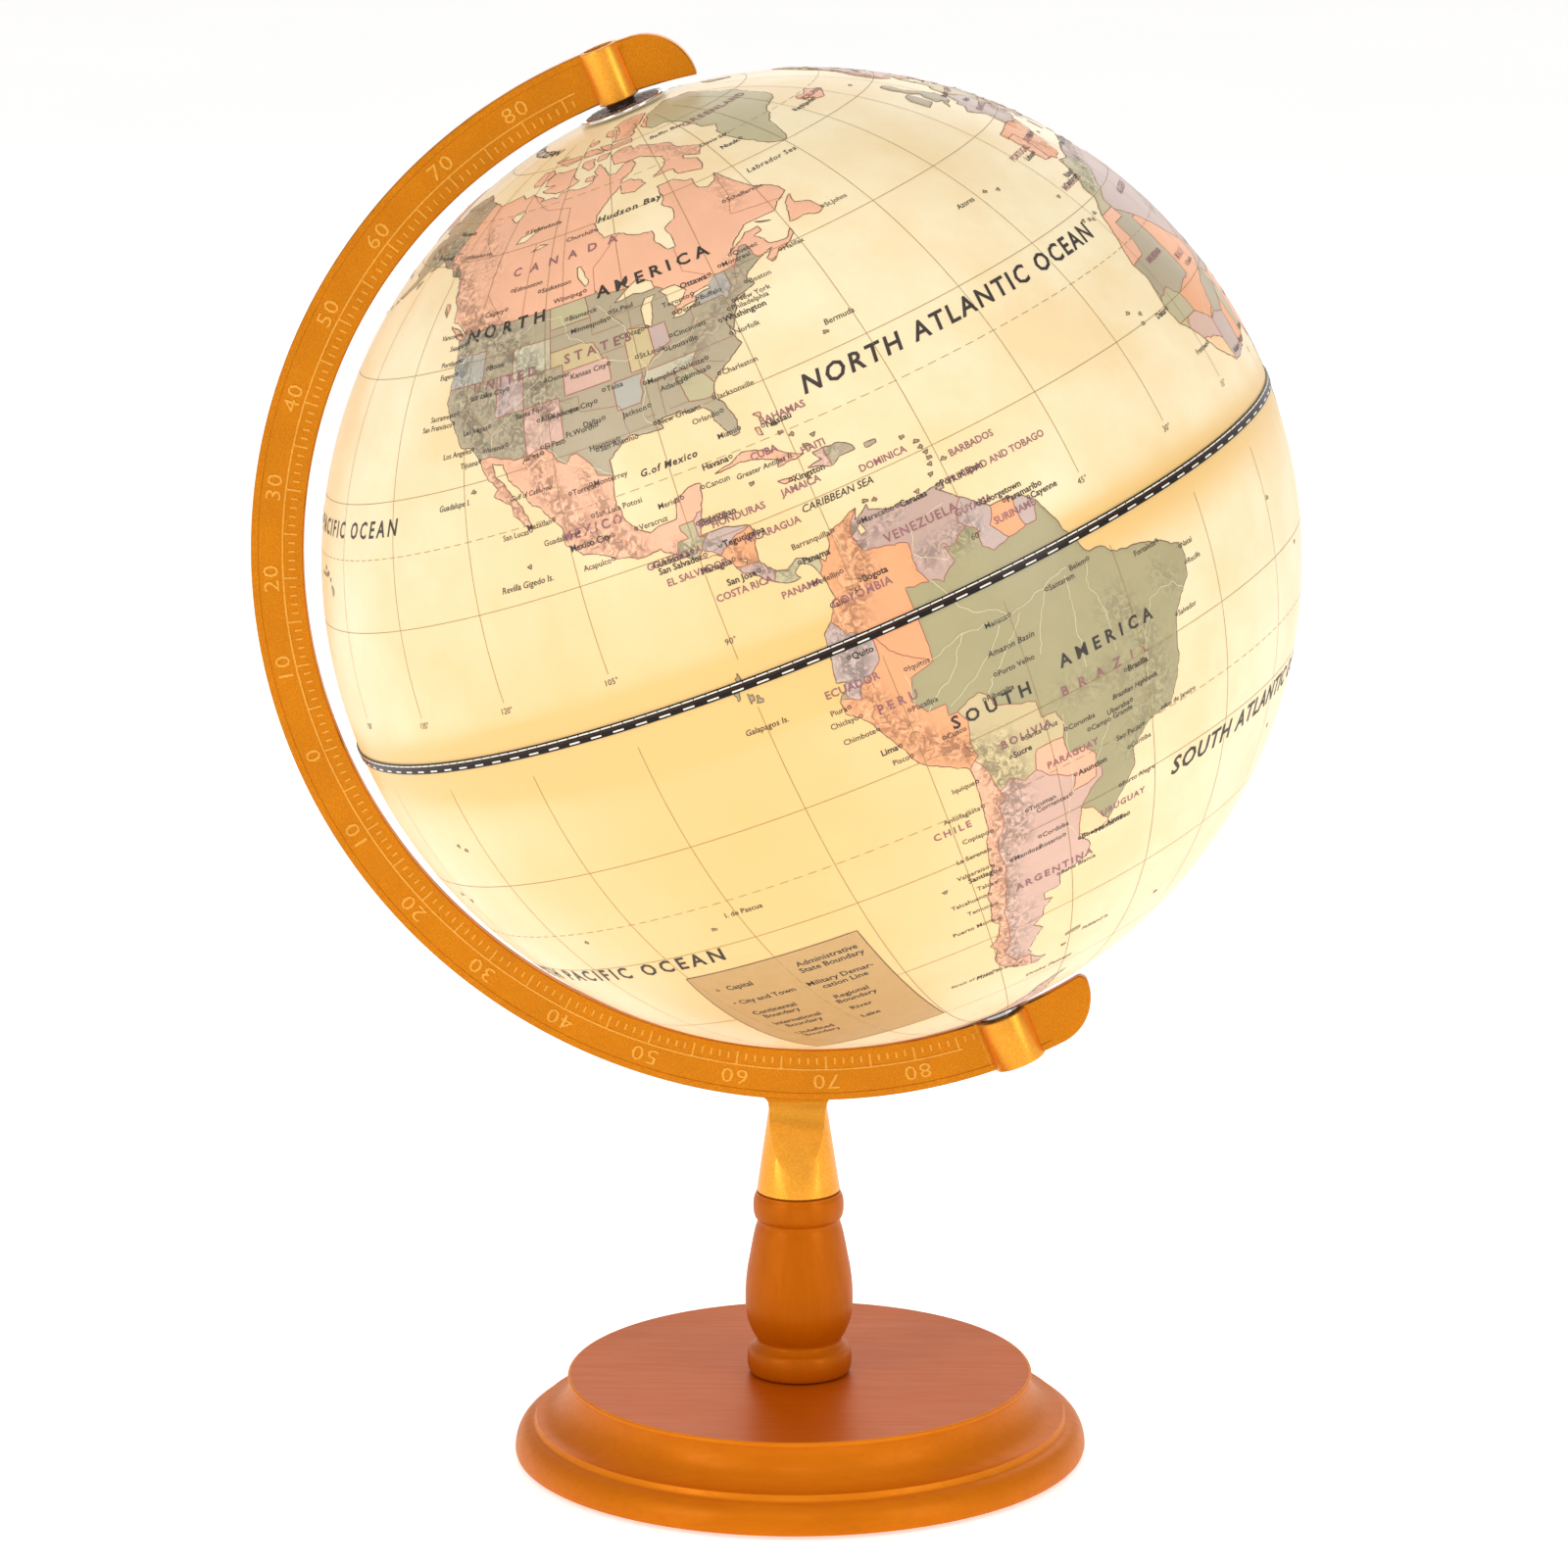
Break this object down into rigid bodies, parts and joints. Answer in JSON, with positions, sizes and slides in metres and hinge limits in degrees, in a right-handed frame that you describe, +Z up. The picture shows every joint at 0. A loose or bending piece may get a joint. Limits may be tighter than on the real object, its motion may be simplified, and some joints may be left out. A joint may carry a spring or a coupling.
{
  "type": "desktop globe",
  "caption": "Illuminated antique-style desktop globe that turns on a tilted axis in a C-shaped graduated meridian arm, on a turned wooden column and round base.",
  "frame": {"origin": "centre of the felt pad's underside, on the axis of the column, at the surface that the globe stands on", "axes": "+Z up along the column; the meridian arm lies in the XZ plane, opens towards +X, and the globe's north pole leans towards -X; -Y is the front"},
  "size_m": [0.326, 0.3046, 0.4531],
  "materials": {
    "stained_wood": "honey-brown stain under satin lacquer",
    "gold_paint": "satin gold paint",
    "map_print": "embossed antique map print, lit from inside",
    "black_tape": "black printed tape with white dashes",
    "black_plastic": "moulded",
    "chrome": "bright plated",
    "dial_print": "dark brown print with white hour marks",
    "steel": "zinc plated",
    "brass": "turned",
    "white_plastic": "moulded",
    "bulb_glass": "frosted",
    "black_rubber": "moulded",
    "felt": "felt"
  },
  "bodies": {
    "stand": {"base_disc": "stained_wood", "base_felt_pad": "felt", "base_nut": "steel", "base_lock_washer": "steel", "base_washer": "steel", "tie_rod": "steel", "column": "stained_wood", "arm_thread_insert": "brass", "meridian_arm": "gold_paint", "north_axle_screw": "steel", "north_spacer_washer": "black_plastic", "south_axle_tube": "steel", "south_axle_nut": "steel", "south_axle_collar": "steel", "south_thrust_washer": "white_plastic", "cord_grommet": "black_rubber", "lamp_holder": "white_plastic", "bulb_cap": "brass", "bulb_envelope": "bulb_glass"},
    "globe": {"globe_north": "map_print", "globe_south": "map_print", "globe_seam_ring": "white_plastic", "equator_tape": "black_tape", "north_bush": "black_plastic", "south_bush": "black_plastic"},
    "hour_dial": {"hour_dial_rim": "chrome", "hour_dial_face": "dial_print"}
  },
  "joints": [
    {"name": "globe_spin", "type": "hinge", "parent": "stand", "child": "globe", "pos_m": [0.00535, 0, 0.2891], "axis": [-0.3746, 0, 0.9272], "continuous": true},
    {"name": "hour_dial_spin", "type": "hinge", "parent": "stand", "child": "hour_dial", "pos_m": [0.00535, 0, 0.2891], "axis": [-0.3746, 0, 0.9272], "continuous": true}
  ]
}
